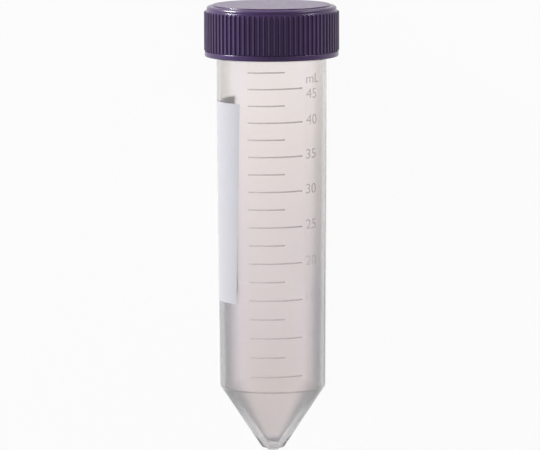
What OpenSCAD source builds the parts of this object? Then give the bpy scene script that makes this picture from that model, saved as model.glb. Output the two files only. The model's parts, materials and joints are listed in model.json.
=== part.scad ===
// Conical tube with a screw cap, 50 ml: a moulded tube and a moulded cap with a plug seal.
// It lies at rest on the cap's ribs and on the rounded edge above the cone, cap towards +Y,
// with the side that carries the scale facing +Z. Lengths are in millimetres.

/* [Tube] */
// Height of the tube from its tip to its rim
tube_h = 115; // [95:1:140]
// Outside diameter of the body, under the cap
body_d = 28.7; // [24:0.1:35]
// Length of the body below the cap that runs parallel, without draft
parallel_h = 15.5; // [8:0.5:30]
// Draft of the body's outside, in degrees
draft = 0.385; // [0.1:0.005:0.6]
// Draft of the bore, in degrees
bore_draft = 0.645; // [0.1:0.005:0.9]
// Depth of the step from the body to the neck
neck_step = 0.2; // [0.2:0.05:0.4]
// Wall of the neck
neck_wall = 0.6; // [0.5:0.05:1.2]
// Gap between the cap's rim and the step under it
step_gap = 0.5; // [0.3:0.1:1.5]
// Depth of the parallel land inside the mouth that the plug seals on
land_h = 8; // [6:0.5:12]
// Rounding of the rim's two edges
rim_round = 0.25; // [0.1:0.05:0.3]

/* [Cone] */
// Height of the cone
cone_h = 16.6; // [12:0.1:22]
// Diameter at which the cone would meet the flat of the tip
tip_d = 5.8; // [4.4:0.1:8]
// Thickness of the floor at the tip
floor_t = 2.35; // [1.2:0.05:3.5]
// Diameter of the floor inside
floor_d = 3.8; // [2:0.1:5]
// Rounding of the edge between the body and the cone
foot_round = 1.5; // [0.5:0.1:3]
// Rounding of the same corner inside
foot_in_round = 0.4; // [0.1:0.1:1]
// Rounding of the tip's edge
tip_round = 0.8; // [0.2:0.1:1.2]
// Diameter of the gate mark under the tip
gate_d = 3; // [1:0.1:3.6]
// Height of the gate mark
gate_h = 0.6; // [0.2:0.1:1]

/* [Thread] */
// Rise of the thread in one turn
pitch = 3.6; // [3:0.1:4.5]
// Height of the tube's ridge above its neck
ridge_h = 1.1; // [0.5:0.05:1.4]
// Height of the ridge inside the cap
cap_ridge_h = 0.65; // [0.4:0.05:1]
// Width of a ridge at its root
ridge_w = 1.5; // [1:0.1:2]
// Width of a ridge at its crest
crest_w = 0.7; // [0.3:0.1:0.9]
// Clearance between the crests of the two ridges
crest_gap = 0.1; // [0.05:0.01:0.3]
// Plain length of the neck above its ridge, and of the cap's mouth below its own
thread_end = 0.8; // [0.5:0.1:1.5]

/* [Cap] */
// Height of the cap
cap_h = 13.5; // [11:0.5:18]
// Thickness of the skirt's wall between the ribs
skirt_wall = 1.25; // [1:0.05:2]
// Thickness of the top
top_t = 2; // [1.2:0.1:3]
// Number of grip ribs
rib_count = 80; // [40:1:110]
// Height of a rib above the skirt
rib_h = 0.4; // [0.25:0.05:0.6]
// Share of the rib spacing that a rib takes at its root
rib_root = 0.52; // [0.4:0.02:0.8]
// Share of the rib spacing that a rib takes at its crest
rib_crest = 0.2; // [0.1:0.02:0.38]
// Length of a rib's sloping top end
rib_top = 0.3; // [0.2:0.05:1]
// Length of a rib's sloping lower end
rib_foot = 0.3; // [0.2:0.1:3]
// Height of the plain band under the ribs
band_h = 1.4; // [0.8:0.05:2]
// Height of the band's face above the skirt
band_out = 0.24; // [0.1:0.02:0.24]
// Height of the shoulder above the ribs
shoulder_h = 1.3; // [1.2:0.05:2.5]
// Width of the ledge between the shoulder and the ribs' crests
ledge_w = 0.7; // [0.65:0.05:1.5]
// Rise of the ledge towards the shoulder
ledge_rise = 0.1; // [0.05:0.05:0.2]
// Width of the shoulder round the flat top
shoulder_w = 1.55; // [1:0.05:2]
// Fall of the shoulder towards its edge
shoulder_fall = 0.2; // [0.05:0.05:0.3]
// Rounding of the shoulder's edge
shoulder_round = 0.6; // [0.1:0.05:0.65]
// Height of the flat top above the shoulder
top_step = 0.25; // [0.2:0.05:0.8]
// Depth of the plug seal below the underside of the top
plug_h = 5.5; // [4.5:0.1:6]
// Wall of the plug seal
plug_wall = 1.1; // [0.8:0.05:1.5]
// Clearance between the plug and the tube's mouth
plug_gap = 0.05; // [0.02:0.01:0.1]

/* [Hidden] */
$fn = 96;
arc_steps = 6;               // straight pieces in a rounded corner of an outline
turn_steps = 40;             // straight pieces in one turn of a thread
run_out = 50;                // degrees over which a ridge fades into its wall
sunk = 0.25;                 // depth that a ridge's root goes into its wall
rib_sunk = 0.15;             // depth that a rib's flanks and ends go into the skirt and band
mouth_cut = 0.4;             // bevel inside the cap's mouth
rim_arc = 0.35;              // rounding outside the cap's mouth
plug_lead = [0.5, 1.5];      // depth and length of the plug's lead-in
plug_arc = 0.4;              // rounding where the plug meets the top
top_arc = 0.1;               // rounding of the flat top's edge, and of the corner under it
ledge_arc = 0.15;            // rounding of the corner between the ledge and the shoulder
down = 90;                   // direction round the tube, in degrees, of the side that it lies on

// Cap: the tube's rim meets the underside of its top
cap_top = tube_h + top_t;
cap_rim = cap_top - cap_h;
grip_low = cap_rim + band_h;
grip_top = cap_top - top_step - shoulder_h;

// Tube
body_r = body_d / 2;
neck_r = body_r - neck_step;
mouth_r = neck_r - neck_wall;
neck_z = cap_rim - step_gap;
land_z = tube_h - land_h;
tip_at = [tip_d / 2, 0];
draft_at = [body_r, neck_z - parallel_h];
foot_at = [body_r - (draft_at.y - cone_h) * tan(draft), cone_h];
foot_in_at = [mouth_r - (land_z - cone_h) * tan(bore_draft), cone_h];

// Radii of the thread and of what lies round it
ridge_r = neck_r + ridge_h;
cap_crest_r = ridge_r + crest_gap;
bore_r = cap_crest_r + cap_ridge_h;
skirt_r = bore_r + skirt_wall;
grip_r = skirt_r + rib_h;
band_r = skirt_r + band_out;
shoulder_r = grip_r - ledge_w;
top_r = shoulder_r - shoulder_w;
plug_r = mouth_r - plug_gap;

// The cap's ridge lies half a pitch below the tube's, and the two fill the skirt's height
cap_thread_low = cap_rim + thread_end + ridge_w / 2;
thread_low = cap_thread_low + pitch / 2;
turns = (tube_h - thread_end - ridge_w / 2 - thread_low) / pitch;

// Both ridges start where their last, part turn is centred on the side that the tube lies on,
// because a loose tube comes to rest with its heavier side down
thread_start = down - 180 * (turns - floor(turns));

// Centre of the arc of radius r that rounds the corner at q, between p and s
function unit(v) = v / norm(v);
function round_centre(p, q, s, r) =
    let (a = unit(p - q), b = unit(s - q), half = acos(a * b) / 2)
    q + unit(a + b) * r / sin(half);

// Points of that arc, or the corner itself where r is 0
function rounded(p, q, s, r) = r == 0 ? [q] :
    let (a = unit(p - q), b = unit(s - q),
         reach = r / tan(acos(a * b) / 2),
         c = round_centre(p, q, s, r),
         from = q + a * reach - c,
         to = q + b * reach - c,
         start = atan2(from.y, from.x),
         turn = atan2(to.y, to.x) - start,
         sweep = turn > 180 ? turn - 360 : turn < -180 ? turn + 360 : turn)
    [for (i = [0:arc_steps]) let (t = start + sweep * i / arc_steps) c + r * [cos(t), sin(t)]];

// Outline through corners given as [point, rounding]
function outline(corners) = let (n = len(corners))
    [for (i = [0:n - 1])
        each rounded(corners[(i + n - 1) % n][0], corners[i][0], corners[(i + 1) % n][0], corners[i][1])];

// Rest: the line that touches two ribs at their full height and the rounded edge above the cone
touch_at = [grip_r * cos(180 / rib_count * (1 - rib_crest)), grip_low + rib_foot];
foot_c = round_centre(tip_at, foot_at, draft_at, foot_round);
rest_line = touch_at - foot_c;
rest_tilt = acos(foot_round / norm(rest_line)) - atan2(rest_line.y, rest_line.x);
rest_z = touch_at.x * cos(rest_tilt) - touch_at.y * sin(rest_tilt);
far_y = cap_top * cos(rest_tilt) + top_r * sin(rest_tilt);
near_y = -gate_h * cos(rest_tilt) - gate_d / 2 * sin(rest_tilt);

// Lays what stands on its tip down to rest, centred over the origin
module laid_down() {
    translate([0, -(far_y + near_y) / 2, rest_z])
        rotate([rest_tilt - 90, 0, 0]) children();
}

// Helical ridge of trapezoid section on a round wall, fading into it at both ends
module ridge(wall_r, crest_r, low) {
    steps = ceil(turns * turn_steps);
    span = 360 * turns;
    out = sign(crest_r - wall_r);
    root = wall_r - out * sunk;
    buried = wall_r - out * sunk / 2;
    points = [for (i = [0:steps])
        let (t = span * i / steps,
             fade = min(1, t / run_out, (span - t) / run_out),
             crest = buried + (crest_r - buried) * fade,
             turned = thread_start + t,
             z = low + pitch * turns * i / steps)
        for (p = [[root, -ridge_w / 2], [crest, -crest_w / 2], [crest, crest_w / 2], [root, ridge_w / 2]])
            [p.x * cos(turned), p.x * sin(turned), z + p.y]];
    sides = [for (i = [0:steps - 1], k = [0:3])
        let (a = 4 * i + k, b = 4 * i + (k + 1) % 4)
        each [[a, b, a + 4], [b, b + 4, a + 4]]];
    last = 4 * steps;
    ends = [[0, 2, 1], [0, 3, 2], [last, last + 1, last + 2], [last, last + 2, last + 3]];
    faces = concat(sides, ends);
    polyhedron(points, out > 0 ? faces : [for (f = faces) [f.x, f.z, f.y]], convexity = 6);
}

// Tube: drafted body and bore, cone, flat tip with its gate mark, neck with its thread
module tube() {
    color([0.9, 0.88, 0.87, 0.5]) laid_down() {
        rotate_extrude() polygon(outline([
            [[0, 0], 0],
            [tip_at, tip_round],
            [foot_at, foot_round],
            [draft_at, 0],
            [[body_r, neck_z], neck_step / 2],
            [[neck_r, neck_z], 0],
            [[neck_r, tube_h], rim_round],
            [[mouth_r, tube_h], rim_round],
            [[mouth_r, land_z], 0],
            [foot_in_at, foot_in_round],
            [[floor_d / 2, floor_t], floor_d / 6],
            [[0, floor_t], 0]]));
        translate([0, 0, -gate_h]) cylinder(h = gate_h + floor_t / 2, d = gate_d);
        ridge(neck_r, ridge_r, thread_low);
    }
}

// Section of the ribs, on a ring inside the skirt's wall that their flanks run down to.
// The side that the tube lies on falls between two ribs.
module grip_section() {
    step = 360 / rib_count;
    flank = (rib_root - rib_crest) / rib_h;
    base = [rib_root + flank * rib_sunk, skirt_r - rib_sunk];
    rib = [[-base.x, base.y], [-rib_crest, grip_r], [rib_crest, grip_r], base];
    difference() {
        polygon([for (i = [0:rib_count - 1], k = rib)
            let (t = down + step * (i + (1 + k.x) / 2)) k.y * [cos(t), sin(t)]]);
        circle(r = skirt_r - skirt_wall / 2);
    }
}

// Ribs: the section over the grip's height, cut to the slopes of their two ends
module ribs() {
    foot = [[skirt_r - rib_sunk, grip_low - rib_sunk], [grip_r, grip_low + rib_foot]];
    top = [[skirt_r - rib_sunk, grip_top - rib_sunk / 2], [grip_r, grip_top - rib_top]];
    function past(slope) = slope[1] + (slope[1] - slope[0]) / 2;
    intersection() {
        translate([0, 0, cap_rim]) linear_extrude(cap_h) grip_section();
        rotate_extrude() polygon([
            [bore_r, foot[0].y], foot[0], past(foot), past(top), top[0], [bore_r, top[0].y]]);
    }
}

// Cap: hollow shell with a stepped top and a plug seal, grip ribs and inside thread
module screw_cap() {
    color([0.22, 0.18, 0.33]) laid_down() {
        rotate_extrude() polygon(outline([
            [[0, cap_top], 0],
            [[top_r, cap_top], top_arc],
            [[top_r, cap_top - top_step], top_arc],
            [[shoulder_r, cap_top - top_step - shoulder_fall], shoulder_round],
            [[shoulder_r, grip_top + ledge_rise], ledge_arc],
            [[skirt_r, grip_top], 0],
            [[skirt_r, grip_low], 0],
            [[band_r, grip_low], band_out / 2],
            [[band_r, cap_rim], rim_arc],
            [[bore_r + mouth_cut, cap_rim], 0],
            [[bore_r, cap_rim + mouth_cut], 0],
            [[bore_r, tube_h], plug_arc],
            [[plug_r, tube_h], 0],
            [[plug_r, tube_h - plug_h + plug_lead.y], 0],
            [[plug_r - plug_lead.x, tube_h - plug_h], 0],
            [[plug_r - plug_wall, tube_h - plug_h], 0],
            [[plug_r - plug_wall, tube_h], plug_arc],
            [[0, tube_h], 0]]));
        ribs();
        ridge(bore_r, cap_crest_r, cap_thread_low);
    }
}

tube();
screw_cap();
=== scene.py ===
# %% [markdown]
# # A 50 ml conical tube with a ribbed screw cap
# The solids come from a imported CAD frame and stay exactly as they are: a drafted polypropylene tube with a
# thread and a cone, and a one-piece cap. What is left for Blender is everything that the eye judges:
# milky plastic that lets light through, satin navy plastic, and the thin film of printed ink.
# The tube can't stand on its tip, so it lies on its side, and the camera looks down on it.

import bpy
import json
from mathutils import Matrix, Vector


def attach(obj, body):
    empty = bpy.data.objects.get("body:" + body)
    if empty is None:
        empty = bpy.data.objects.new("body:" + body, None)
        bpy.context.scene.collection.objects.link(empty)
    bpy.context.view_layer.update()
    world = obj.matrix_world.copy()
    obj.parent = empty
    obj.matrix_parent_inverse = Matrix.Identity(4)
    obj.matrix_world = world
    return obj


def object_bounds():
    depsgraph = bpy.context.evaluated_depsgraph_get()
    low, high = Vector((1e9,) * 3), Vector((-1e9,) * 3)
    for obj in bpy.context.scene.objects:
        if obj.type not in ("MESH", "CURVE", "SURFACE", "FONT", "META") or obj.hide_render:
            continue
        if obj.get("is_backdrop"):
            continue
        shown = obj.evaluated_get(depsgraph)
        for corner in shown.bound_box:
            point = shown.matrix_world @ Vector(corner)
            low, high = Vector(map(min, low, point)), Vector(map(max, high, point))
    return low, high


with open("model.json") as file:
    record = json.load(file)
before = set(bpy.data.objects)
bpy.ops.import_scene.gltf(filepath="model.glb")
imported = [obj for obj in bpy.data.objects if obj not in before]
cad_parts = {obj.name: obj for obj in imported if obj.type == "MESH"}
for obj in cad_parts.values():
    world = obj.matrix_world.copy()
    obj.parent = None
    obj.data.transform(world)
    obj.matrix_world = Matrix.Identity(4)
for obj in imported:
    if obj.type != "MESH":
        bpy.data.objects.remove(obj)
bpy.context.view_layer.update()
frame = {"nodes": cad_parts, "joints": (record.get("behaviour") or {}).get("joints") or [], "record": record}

# %% Modules
import json
import math

import bmesh
import bpy
from mathutils import Matrix, Vector

# %% [markdown]
# ## Where things are on a tube that lies down
# Every print is easiest to place by three numbers: the height above the tip, the angle round the tube, and
# the distance from its axis. The frame's record already holds the axis, because the cap lifts along it, and
# the middle of the cap's flat top. From these two the tip and the direction of the scale follow, so nothing
# has to be fitted by eye.

# %% The tube's own axes
MM = 0.001
CAP_TOP_HEIGHT = 117 * MM  # from the tip to the cap's flat top

mounts = {mount["name"]: mount for mount in frame["record"]["mounts"]}
axis = Vector(frame["joints"][0]["axis"]).normalized()
side = Vector((1, 0, 0))
front = side.cross(axis)  # from the axis towards the middle of the scale
tip = Vector(mounts["cap_top"]["pos_m"]) - axis * CAP_TOP_HEIGHT


def spot(radius, angle, height):
    """Point at that distance from the axis, that many degrees right of the front, that far above the tip."""
    turn = math.radians(angle)
    return tip + axis * height + (front * math.cos(turn) + side * math.sin(turn)) * radius


print("tip at", tuple(round(v * 1000, 2) for v in tip), "mm; front", tuple(round(v, 3) for v in front))

# %% The body's outside, read from the collar mount
collar = mounts["rack_collar"]
BODY_RADIUS = collar["dims"]["r_mm"] * MM
DRAFT_TOP = 87.5 * MM  # height where the parallel collar ends and the draft begins
DRAFT = math.radians(0.385)


def body_radius(height):
    """Outside radius of the body, which narrows by its draft below the parallel collar."""
    return BODY_RADIUS - max(0.0, DRAFT_TOP - height) * math.tan(DRAFT)


print("body radius", round(body_radius(0.1) * 1000, 2), "to", round(body_radius(0.02) * 1000, 2), "mm")

# %% [markdown]
# ## A scale whose spacing follows the bore
# The printed lines of a real tube aren't evenly spaced. Each marks a volume, so its height follows from the
# bore: a short cone, then a bore that widens a little towards the mouth. Adding up the two stretches of the
# bore and reading the height back at each volume gives the same slow change of spacing that a real scale
# has. The radii here are the scale's own and not the solid's, whose cone ends narrower, at 1.9 mm. So the
# 5 ml line stands where the solid holds 4.75 ml, and the lines from 10 ml up are right within 2 percent.

# %% Height of the liquid at a volume
BORE = [(2.35 * MM, 3.24 * MM), (16.6 * MM, 12.38 * MM), (107 * MM, 13.70 * MM)]  # height and radius
ML = 1e-6  # cubic metres
HALVINGS = 40


def filled(height):
    """Volume of the bore below a height, in cubic metres."""
    volume = 0.0
    for (low, low_r), (high, high_r) in zip(BORE, BORE[1:]):
        rise = min(height, high) - low
        if rise > 0:
            top_r = low_r + (high_r - low_r) * rise / (high - low)
            volume += math.pi * rise * (low_r**2 + low_r * top_r + top_r**2) / 3
    return volume


def level(millilitres):
    """Height that this much liquid reaches in the standing tube, found by halving the range."""
    low, high = BORE[0][0], BORE[-1][0]
    for _ in range(HALVINGS):
        middle = (low + high) / 2
        low, high = (middle, high) if filled(middle) < millilitres * ML else (low, middle)
    return low


VOLUMES = [2.5 * step for step in range(2, 20)]
print("5 ml at", round(level(5) * 1000, 2), "mm, 45 ml at", round(level(45) * 1000, 2), "mm")

# %% [markdown]
# ## Writing shader maths as plain expressions
# Node trees get hard to read when each sum is three lines of code. A small class that wraps a node's output
# and answers to +, - and * lets a mask be written as `1 - edge * 0.5`. It only makes Math nodes, which work
# on single numbers. Colours are blended with a Mix node instead, because a Math node would turn them grey.

# %% A socket that can be added and multiplied
class Wire:
    """An output of a node. Sums with numbers or other wires add Math nodes to the same tree."""

    def __init__(self, bench, socket):
        self.bench = bench
        self.socket = socket

    def maths(self, operation, first, second):
        return self.bench.add("ShaderNodeMath", {"operation": operation}, {0: first, 1: second})

    def __add__(self, other):
        return self.maths("ADD", self, other)

    def __sub__(self, other):
        return self.maths("SUBTRACT", self, other)

    def __rsub__(self, other):
        return self.maths("SUBTRACT", other, self)

    def __mul__(self, other):
        return self.maths("MULTIPLY", self, other)

    __radd__ = __add__
    __rmul__ = __mul__


# %% A bench on which nodes are laid out
class Bench:
    """The node tree of one finish, and the only way that nodes get into it."""

    def __init__(self, tree):
        self.tree = tree
        tree.nodes.clear()

    def add(self, kind, settings, sockets, output=None):
        """Adds a node: settings first, then a value or a wire for each socket. Gives its output as a wire."""
        node = self.tree.nodes.new(kind)
        for name, value in settings.items():
            if name == "stops":
                ramp = node.color_ramp.elements
                while len(ramp) < len(value):
                    ramp.new(1.0)
                for stop, (place, shade) in zip(ramp, value):
                    stop.position, stop.color = place, shade
            else:
                setattr(node, name, value)
        for key, value in sockets.items():
            if isinstance(value, Wire):
                self.tree.links.new(value.socket, node.inputs[key])
            else:
                node.inputs[key].default_value = value
        shown = [socket for socket in node.outputs if socket.enabled]
        return Wire(self, node.outputs[output] if output else shown[0]) if shown else node

    def blend(self, share, first, second):
        """One colour turning into another as share goes from 0 to 1."""
        return self.add("ShaderNodeMix", {"data_type": "RGBA"}, {0: share, 6: first, 7: second})

    def smooth_step(self, value, low, high):
        """0 below low, 1 above high, and an even curve between them."""
        return self.add(
            "ShaderNodeMapRange", {"interpolation_type": "SMOOTHSTEP"}, {0: value, 1: low, 2: high})

    def noise(self, place, size, detail):
        """Cloudy variation from 0 to 1 whose patches are about that many metres across."""
        return self.add(
            "ShaderNodeTexNoise", {}, {"Vector": place, "Scale": 1 / size, "Detail": detail})


print("Shader helpers ready")

# %% A material with one plastic or ink shader on it
def new_finish(name, **constants):
    """A material with a Principled shader, whose constant values are set on its own sockets."""
    material = bpy.data.materials.new(name)
    material.use_nodes = True
    bench = Bench(material.node_tree)
    shader = bench.add("ShaderNodeBsdfPrincipled", {}, {})
    for word, value in constants.items():
        shader.socket.node.inputs[word.replace("_", " ")].default_value = value
    bench.add("ShaderNodeOutputMaterial", {}, {"Surface": shader})
    return material, bench, shader.socket.node


def connect(bench, shader, **wires):
    """Links wires to the shader's sockets by name."""
    for word, wire in wires.items():
        bench.tree.links.new(wire.socket, shader.inputs[word.replace("_", " ")])


def place_on_tube(bench):
    """The surface point as a wire, and its height above the tip along the tube's axis."""
    point = bench.add("ShaderNodeTexCoord", {}, {}, "Object")
    along = bench.add("ShaderNodeVectorMath", {"operation": "DOT_PRODUCT"}, {0: point, 1: axis}, "Value")
    return point, along - tip.dot(axis)


def distance_from_axis(bench, point):
    """How far the surface point is from the tube's axis."""
    from_tip = bench.add("ShaderNodeVectorMath", {"operation": "SUBTRACT"}, {0: point, 1: tip})
    across = bench.add("ShaderNodeVectorMath", {"operation": "CROSS_PRODUCT"}, {0: from_tip, 1: axis})
    return bench.add("ShaderNodeVectorMath", {"operation": "LENGTH"}, {0: across}, "Value")


def bump(bench, height, strength, distance):
    """Small relief: the wire's value pushes the surface out by up to that distance."""
    return bench.add(
        "ShaderNodeBump", {}, {"Strength": strength, "Distance": distance, "Height": height})


def dress(node_name, material):
    """Puts the material on every slot of a CAD node."""
    mesh = frame["nodes"][node_name].data
    mesh.materials.clear()
    mesh.materials.append(material)
    print(node_name, "is now", material.name)


# %% [markdown]
# ## Milky polypropylene
# Natural polypropylene isn't clear: its crystals scatter light, so a wall one millimetre thick looks like
# frosted glass. Its colour darkens towards the cone, partly for the thicker wall there and partly as painted
# shade. A half transparent paint would show no bending of light, so the shader really transmits it, with a
# slightly rough surface for the haze.
# On an all-white table the bending alone leaves the tube's sides too pale. Layer Weight greys the colour
# towards the edges: partly for the longer way that slanting light has through the plastic, and partly as
# painted shade at the sides.
# The tip is solid plastic and greyer still. Where the cone meets the body, a thin dark line is painted on
# the upper half only: painted shade for the light that the crease in the wall bends away.

# %% The tube's plastic
# Painted shade: the plastic's colour darkens towards the cone, partly for the thicker wall there.
MILK_AND_SHADE_BY_HEIGHT = [
    (0.05, (0.83, 0.79, 0.78, 1)),
    (0.11, (0.85, 0.805, 0.79, 1)),
    (0.27, (0.875, 0.83, 0.83, 1)),
    (0.48, (0.91, 0.87, 0.865, 1)),
    (0.71, (0.965, 0.925, 0.908, 1)),
    (0.88, (0.995, 0.962, 0.950, 1))]

CREASE_SHADE_HEIGHT = 16.50 * MM  # of a thin dark line, painted shade where the cone meets the body
CREASE_SHADE_EDGE, CREASE_SHADE_CORE = 0.34 * MM, 0.12 * MM  # distance from its middle where it fades out and is full
OUTER_SKIN = 13.0 * MM, 13.3 * MM  # radii between which a point counts as the outside, not the bore
CREASE_SHADE_FADE = 6 * MM  # above the axis, over which the line comes in
CREASE_SHADE_GREY = (0.42, 0.38, 0.38, 1)
BOTTOM_TOP, BOTTOM_FULL = 2.5 * MM, 1.8 * MM  # heights where the solid tip's grey ends and is full
BOTTOM_GREY = (0.58, 0.57, 0.58, 1)
RIM_SHADE_BY_HEIGHT = [  # painted shade at the tube's edges, partly for light crossing the wall at a slant; the wall thickens towards the cone
    (0.14, (0.33, 0.335, 0.35, 1)),
    (0.33, (0.34, 0.34, 0.37, 1)),
    (0.51, (0.47, 0.445, 0.44, 1)),
    (0.75, (0.60, 0.57, 0.555, 1)),
    (0.88, (0.72, 0.69, 0.67, 1))]
RIM_START, RIM_FULL = 0.18, 0.60  # slant of the wall, from 0 square-on to 1 edge-on

milk, bench, shader = new_finish(
    "natural_polypropylene", IOR=1.49, Transmission_Weight=0.98)
point, height = place_on_tube(bench)
cloud = bench.noise(point, 14 * MM, 3.0)
grain = bench.noise(point, 0.35 * MM, 2.0)
up_the_tube = height * (1 / CAP_TOP_HEIGHT)
from_corner = bench.add("ShaderNodeMath", {"operation": "ABSOLUTE"}, {0: height - CREASE_SHADE_HEIGHT})
forward = bench.add("ShaderNodeVectorMath", {"operation": "DOT_PRODUCT"}, {0: point, 1: front}, "Value")
# Painted shade: a thin dark line at the crease between cone and body, on the upper half only.
crease_shade = (bench.smooth_step(from_corner, CREASE_SHADE_EDGE, CREASE_SHADE_CORE)
           * bench.smooth_step(distance_from_axis(bench, point), *OUTER_SKIN)
           * bench.smooth_step(forward - tip.dot(front), 0, CREASE_SHADE_FADE))
solid_bottom = bench.smooth_step(height, BOTTOM_TOP, BOTTOM_FULL)
by_height = bench.add(
    "ShaderNodeValToRGB", {"stops": MILK_AND_SHADE_BY_HEIGHT}, {0: up_the_tube + (cloud - 0.5) * 0.06}, "Color")
# Painted shade: the colour greys towards the tube's edges, partly for the slanting way through the wall.
slant = bench.add("ShaderNodeLayerWeight", {}, {"Blend": 0.5}, "Facing")
rim = bench.smooth_step(slant, RIM_START, RIM_FULL)
rim_shade = bench.add("ShaderNodeValToRGB", {"stops": RIM_SHADE_BY_HEIGHT}, {0: up_the_tube}, "Color")
wall = bench.blend(rim, bench.blend(crease_shade, by_height, CREASE_SHADE_GREY), rim_shade)
connect(
    bench, shader,
    Base_Color=bench.blend(solid_bottom, wall, BOTTOM_GREY),
    Roughness=cloud * 0.05 + grain * 0.02 + 0.06,
    Normal=bump(bench, cloud * 0.6 + grain * 0.02, 0.12, 0.4 * MM))
dress("tube", milk)

# %% [markdown]
# ## Navy polyethylene
# The cap is moulded in a dark blue that leans to purple. Polyethylene is softer and waxier than the tube, so
# its highlights are broad. The flat top carries a fine spark finish from the mould in its roughness and
# relief, and its colour is painted paler and mottled as a painted reflection. The rib crests are painted a
# lighter navy, as a painted highlight.

# %% The cap's plastic
DEEP_NAVY = (0.047, 0.022, 0.082, 1)
WORN_NAVY = (0.064, 0.033, 0.110, 1)
# Painted highlight: the outermost part of each rib gets a lighter navy.
CREST_HIGHLIGHT_NAVY = (0.090, 0.060, 0.130, 1)
# Painted reflection: the top's colour is paler than the sides, as well as its spark finish.
SPARK_AND_REFLECTION_NAVY = (0.095, 0.048, 0.120, 1)
DISC_EDGE, DISC_FULL = 0.12 * MM, 0.04 * MM  # below the cap's top, where the spark finish and the painted paler top start and are full
CREST_START, CREST_FULL = 17.52 * MM, 17.62 * MM  # radii of the outermost part of a rib

navy, bench, shader = new_finish("navy_polyethylene", IOR=1.5, Specular_IOR_Level=0.5)
point, height = place_on_tube(bench)
on_top = bench.smooth_step(height, CAP_TOP_HEIGHT - DISC_EDGE, CAP_TOP_HEIGHT - DISC_FULL)
cloud = bench.noise(point, 5 * MM, 3.0)
spark = bench.noise(point, 0.3 * MM, 3.0)
patch = bench.noise(point, 1.6 * MM, 4.0)
on_crest = bench.smooth_step(distance_from_axis(bench, point), CREST_START, CREST_FULL)
sides = bench.blend(on_crest * (cloud * 0.5 + 0.6), bench.blend(cloud, DEEP_NAVY, WORN_NAVY), CREST_HIGHLIGHT_NAVY)
connect(
    bench, shader,
    Base_Color=bench.blend(on_top * (patch * 0.8 + 0.3), sides, SPARK_AND_REFLECTION_NAVY),
    Roughness=on_top * (patch * 0.2 - 0.04) + cloud * 0.06 + spark * 0.04 + 0.20,
    Normal=bump(bench, spark * (on_top * 0.6 + 0.1) + on_top * patch * 1.5, 0.35, 0.06 * MM))
dress("screw_cap", navy)

# %% [markdown]
# ## Ink that follows the wall
# Screen printing lays a film of ink about two hundredths of a millimetre thick. Painting it into the tube's
# material would need a mask for every stroke, so each print is a thin closed shell instead, bent round the
# wall. A grid of points in angle and height is enough: one skin just above the wall, one a film's thickness
# further out, and a rim that joins them.

# %% A film bent round the wall
FILM_FLOOR = 0.004 * MM  # just clear of the wall
FILM_FACE = 0.030 * MM
WALL_STEP = 1.2  # degrees between the film's points


def grid_film(name, rows):
    """Closed thin solid over rows of (angle, height) points, all rows equally long."""
    count = len(rows[0])
    points = []
    for lift in (FILM_FLOOR, FILM_FACE):
        points += [spot(body_radius(h) + lift, a, h) for row in rows for a, h in row]
    skin = len(points) // 2
    quads = []
    for r in range(len(rows) - 1):
        for c in range(count - 1):
            a = r * count + c
            quads.append((a, a + 1, a + count + 1, a + count))
    rim = list(range(count))
    rim += [r * count + count - 1 for r in range(1, len(rows))]
    rim += [(len(rows) - 1) * count + c for c in range(count - 2, -1, -1)]
    rim += [r * count for r in range(len(rows) - 2, 0, -1)]
    faces = [tuple(reversed(q)) for q in quads] + [tuple(v + skin for v in q) for q in quads]
    for here, there in zip(rim, rim[1:] + rim[:1]):
        faces.append((here, there, there + skin, here + skin))
    mesh = bpy.data.meshes.new(name)
    mesh.from_pydata(points, [], faces)
    return mesh


def film_object(name, meshes, material):
    """One piece made of the meshes, which rides on the tube."""
    joined = bmesh.new()
    for mesh in meshes:
        joined.from_mesh(mesh)
        bpy.data.meshes.remove(mesh)
    bmesh.ops.recalc_face_normals(joined, faces=joined.faces)
    body = bpy.data.meshes.new(name)
    joined.to_mesh(body)
    joined.free()
    piece = bpy.data.objects.new(name, body)
    bpy.context.scene.collection.objects.link(piece)
    body.materials.append(material)
    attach(piece, "tube")
    print(name, len(body.polygons), "faces")


def spread(first, last, step):
    """Evenly spaced values from first to last, at most step apart."""
    count = max(1, math.ceil(abs(last - first) / step))
    return [first + (last - first) * i / count for i in range(count + 1)]


# %% Grey ink, which lets the plastic show where it is thin
INK_GREY, INK_PALE = (0.170, 0.132, 0.132, 1), (0.22, 0.19, 0.19, 1)

ink, bench, shader = new_finish("scale_ink", Roughness=0.55)
point, height = place_on_tube(bench)
sideways = bench.add("ShaderNodeVectorMath", {"operation": "DOT_PRODUCT"}, {0: point, 1: side}, "Value")
patch = bench.noise(point, 1.6 * MM, 2.0)
full_high = bench.smooth_step(height, 20 * MM, 100 * MM)
connect(
    bench, shader,
    Base_Color=bench.blend(patch, INK_GREY, INK_PALE),
    Alpha=full_high * 0.15 + sideways * 9 + patch * 0.06 + 0.095)

worn_ink, bench, shader = new_finish("worn_scale_ink", Roughness=0.55)
point, height = place_on_tube(bench)
patch = bench.noise(point, 1.6 * MM, 2.0)
ink_left = bench.smooth_step(height, 26 * MM, 80 * MM)  # the lowest figures are nearly worn away
connect(
    bench, shader,
    Base_Color=bench.blend(patch, INK_GREY, INK_PALE),
    Alpha=ink_left * (patch * 0.06 + 0.20) + 0.005)

# %% [markdown]
# ## Lines at every 2.5 ml, long ones at every 5 ml
# Each line starts at the left of the scale. The printing screen sat a hair askew, so lines rise a little
# towards the right, as they often do on such tubes.

# %% The scale's lines
LINE_LEFT = -26  # degrees, as the two right ends are
SHORT_RIGHT, LONG_RIGHT = 13.5, 33.5
LINE_WIDTH = 0.38 * MM
SCREEN_SKEW = 0.016


def printed_height(angle, height):
    """Height of a print that should be at that height, on the slightly turned screen."""
    return height + math.radians(angle) * BODY_RADIUS * SCREEN_SKEW


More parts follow.
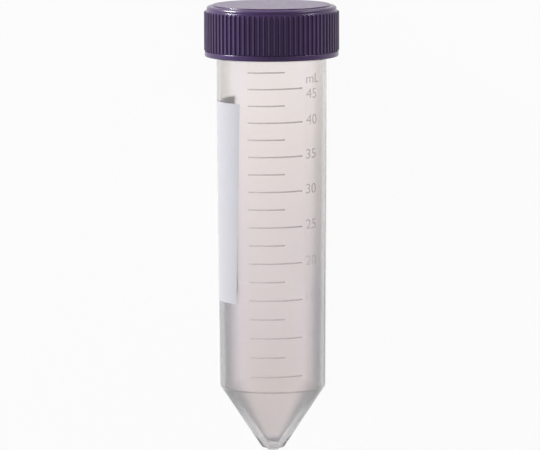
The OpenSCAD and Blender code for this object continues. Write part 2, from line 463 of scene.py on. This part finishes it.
line_meshes = []
for volume in VOLUMES:
    middle = level(volume)
    right = LONG_RIGHT if volume % 5 == 0 else SHORT_RIGHT
    angles = spread(LINE_LEFT, right, WALL_STEP)
    rows = [[(a, printed_height(a, middle) + half * LINE_WIDTH) for a in angles] for half in (-0.5, 0.5)]
    line_meshes.append(grid_film("line", rows))
film_object("scale_lines", line_meshes, ink)

# %% [markdown]
# ## Numerals beside the long lines
# Blender's own font gives plain figures. Each one becomes a mesh, is cut into narrow upright strips so that
# it can bend, and is then wrapped onto the wall: its width becomes an angle and its height a height.

# %% A word of figures wrapped onto the wall
STRIP = 0.3 * MM


def wrapped_word(words, size, squeeze, angle, height):
    """Mesh of the words, left end at the angle and middle at the height, as a film on the wall."""
    curve = bpy.data.curves.new("words", "FONT")
    curve.body, curve.size, curve.extrude = words, size, 0.5
    curve.align_y = "CENTER"
    shape = bpy.data.objects.new("words", curve)
    mesh = bpy.data.meshes.new_from_object(shape)
    bpy.data.objects.remove(shape)
    flat = bmesh.new()
    flat.from_mesh(mesh)
    bmesh.ops.remove_doubles(flat, verts=flat.verts, dist=1e-6)
    low = min(v.co.x for v in flat.verts)
    width = max(v.co.x for v in flat.verts) - low
    middle = (max(v.co.y for v in flat.verts) + min(v.co.y for v in flat.verts)) / 2
    for i in range(1, int(width / STRIP) + 1):
        bmesh.ops.bisect_plane(
            flat, geom=flat.verts[:] + flat.edges[:] + flat.faces[:], dist=1e-7,
            plane_co=(low + i * STRIP, 0, 0), plane_no=(1, 0, 0))
    for v in flat.verts:
        turn = angle + math.degrees((v.co.x - low) * squeeze / BODY_RADIUS)
        high = printed_height(turn, height) + v.co.y - middle
        lift = FILM_FACE if v.co.z > 0 else FILM_FLOOR
        v.co = spot(body_radius(high) + lift, turn, high)
    flat.to_mesh(mesh)
    flat.free()
    return mesh


print("Words bend in strips of", STRIP * 1000, "mm")

# %% The numerals and the unit
NUMERAL_SIZE = 3.65 * MM
NUMERAL_SQUEEZE = 1.1
NUMERAL_LEFT = 38.3

word_meshes = []
labels = {str(volume): level(volume) + 0.4 * MM for volume in range(5, 45, 5)}
labels.update({"45": level(45) - 1.6 * MM, "mL": level(45) + 2.35 * MM})
for words, height in labels.items():
    word_meshes.append(wrapped_word(words, NUMERAL_SIZE, NUMERAL_SQUEEZE, NUMERAL_LEFT, height))
film_object("scale_numerals", word_meshes, worn_ink)

# %% [markdown]
# ## The writing panel
# A block of white ink gives a place to write on. It wraps round the left side, and its right edge leans a
# little, as the rest of the print does.

# %% White panel
PANEL_RIGHT_TOP, PANEL_RIGHT_FOOT = -35.5, -42
PANEL_LEFT = -134
PANEL_COLUMNS = 84
PANEL_ROW_STEP = 4 * MM
PANEL_FOOT, PANEL_TOP = 39.45 * MM, 92 * MM
PANEL_WHITE, PANEL_BRIGHT = (0.48, 0.475, 0.475, 1), (0.515, 0.51, 0.51, 1)

paper, bench, shader = new_finish("panel_ink", Roughness=0.42)
point, height = place_on_tube(bench)
patch = bench.noise(point, 6 * MM, 3.0)
connect(bench, shader, Base_Color=bench.blend(patch, PANEL_WHITE, PANEL_BRIGHT))

rows = []
for high in spread(PANEL_FOOT, PANEL_TOP, PANEL_ROW_STEP):
    share = (high - PANEL_FOOT) / (PANEL_TOP - PANEL_FOOT)
    right = PANEL_RIGHT_FOOT + (PANEL_RIGHT_TOP - PANEL_RIGHT_FOOT) * share
    rows.append([(PANEL_LEFT + (right - PANEL_LEFT) * i / PANEL_COLUMNS, high)
                 for i in range(PANEL_COLUMNS + 1)])
film_object("writing_panel", [grid_film("panel", rows)], paper)

# %% [markdown]
# ## Floor, world and lamps
# The floor is white because most of what the camera sees of it is a plain glow of strength 1. The rest is
# ordinary white paint, which keeps the tube's soft shadow. Rays that have passed through the plastic or
# bounced off it see the same white floor, so the tube looks as it would on a white table. The world is
# white for the camera and dimmer for everything else, with a bluer side where a window would be.
# Two small softboxes light the object. Two more lamps are hidden from diffuse rays, so they only add the
# gleams on the cap's shoulder without raising the level of the light.

# %% White floor that keeps a shadow
FLOOR_SIZE = 3.0
GLOW_SHARE = 0.94
FLOOR_PAINT = (0.9, 0.9, 0.9, 1)

floor_paint = bpy.data.materials.new("white_floor")
floor_paint.use_nodes = True
bench = Bench(floor_paint.node_tree)
rays = {name: bench.add("ShaderNodeLightPath", {}, {}, name)
        for name in ("Is Camera Ray", "Is Glossy Ray", "Is Transmission Ray")}
through_or_off = bench.add("ShaderNodeMath", {"operation": "MAXIMUM"},
                           {0: rays["Is Glossy Ray"], 1: rays["Is Transmission Ray"]})
seen = bench.add("ShaderNodeMath", {"operation": "MAXIMUM"},
                 {0: rays["Is Camera Ray"], 1: through_or_off}) * GLOW_SHARE
paint = bench.add("ShaderNodeBsdfDiffuse", {}, {"Color": FLOOR_PAINT})
glow = bench.add("ShaderNodeEmission", {}, {"Color": (1, 1, 1, 1), "Strength": 1.0})
mixed = bench.add("ShaderNodeMixShader", {}, {0: seen, 1: paint, 2: glow})
bench.add("ShaderNodeOutputMaterial", {}, {"Surface": mixed})

floor_mesh = bpy.data.meshes.new("floor")
half = FLOOR_SIZE / 2
corners = [(-half, -half, 0), (half, -half, 0), (half, half, 0), (-half, half, 0)]
floor_mesh.from_pydata(corners, [], [(0, 1, 2, 3)])
floor = bpy.data.objects.new("floor", floor_mesh)
bpy.context.scene.collection.objects.link(floor)
floor_mesh.materials.append(floor_paint)
floor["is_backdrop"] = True
print("Floor", FLOOR_SIZE, "m wide")

# %% World
OVERHEAD = (0.40, 0.39, 0.40, 1)
HORIZON = (0.52, 0.48, 0.60, 1)
WINDOW_SIDE = (0.56, 0.62, 0.98, 1)

world = bpy.data.worlds.new("studio")
bpy.context.scene.world = world
world.use_nodes = True
bench = Bench(world.node_tree)
from_camera = bench.add("ShaderNodeLightPath", {}, {}, "Is Camera Ray")
direction = bench.add("ShaderNodeTexCoord", {}, {}, "Generated")
overhead = bench.smooth_step(bench.add("ShaderNodeSeparateXYZ", {}, {0: direction}, "Z"), 0.0, 0.9)
window = bench.smooth_step(bench.add("ShaderNodeSeparateXYZ", {}, {0: direction}, "X"), -0.3, -0.95)
walls = bench.blend(overhead, bench.blend(window, HORIZON, WINDOW_SIDE), OVERHEAD)
room = bench.add("ShaderNodeBackground", {}, {"Color": walls, "Strength": 1.0})
white = bench.add("ShaderNodeBackground", {}, {"Color": (1, 1, 1, 1), "Strength": 1.0})
bench.add("ShaderNodeOutputWorld", {}, {
    "Surface": bench.add("ShaderNodeMixShader", {}, {0: from_camera, 1: room, 2: white})})

# %% Lamps
LAMP_DISTANCE = 1.0


def softbox(name, direction, width, height, watts, glint=False):
    """Lamp in that direction from the tube's middle, facing it. A glint lamp only makes highlights."""
    data = bpy.data.lights.new(name, "AREA")
    data.shape, data.size, data.size_y, data.energy = "RECTANGLE", width, height, watts
    lamp = bpy.data.objects.new(name, data)
    lamp.location = Vector(direction).normalized() * LAMP_DISTANCE
    lamp.rotation_euler = Vector(direction).to_track_quat("Z", "Y").to_euler()
    lamp.visible_transmission = False
    lamp.visible_diffuse = not glint
    bpy.context.scene.collection.objects.link(lamp)


softbox("left_softbox", (-0.86, 0.50, 0.10), 0.16, 0.16, 11)
softbox("right_softbox", (0.76, 0.64, 0.08), 0.12, 0.12, 5)
softbox("left_glint", (-0.84, 0.56, 0.12), 0.34, 0.16, 22, glint=True)
softbox("right_glint", (0.72, 0.62, 0.30), 0.16, 0.10, 3, glint=True)
print("Two softboxes and two glints")

# %% Camera, looking down on the lying tube
LENS, SENSOR_WIDTH = 328.7, 36.0  # millimetres
ALONG_AXIS, IN_FRONT, TO_THE_LEFT = 223.3, 1283, 0.60  # millimetres from the tip
PITCH = math.radians(7.30)  # below square-on to the axis
ROLL = math.radians(-0.21)

camera_data = bpy.data.cameras.new("camera")
camera_data.lens, camera_data.sensor_width = LENS, SENSOR_WIDTH
camera_data.clip_start, camera_data.clip_end = 0.01, 20
camera = bpy.data.objects.new("camera", camera_data)
bpy.context.scene.collection.objects.link(camera)
bpy.context.scene.camera = camera

back = front * math.cos(PITCH) + axis * math.sin(PITCH)  # out of the picture
above = axis * math.cos(PITCH) - front * math.sin(PITCH)
right_way = side * math.cos(ROLL) + above * math.sin(ROLL)
up_way = above * math.cos(ROLL) - side * math.sin(ROLL)
turn = Matrix((right_way, up_way, back)).transposed().to_4x4()
camera.matrix_world = Matrix.Translation(
    tip + axis * ALONG_AXIS * MM + front * IN_FRONT * MM - side * TO_THE_LEFT * MM) @ turn
print("Camera at", [round(v, 3) for v in camera.matrix_world.translation])

# %% Plain colours
bpy.context.scene.view_settings.view_transform = "Standard"

# %% Sizes
low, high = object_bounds()
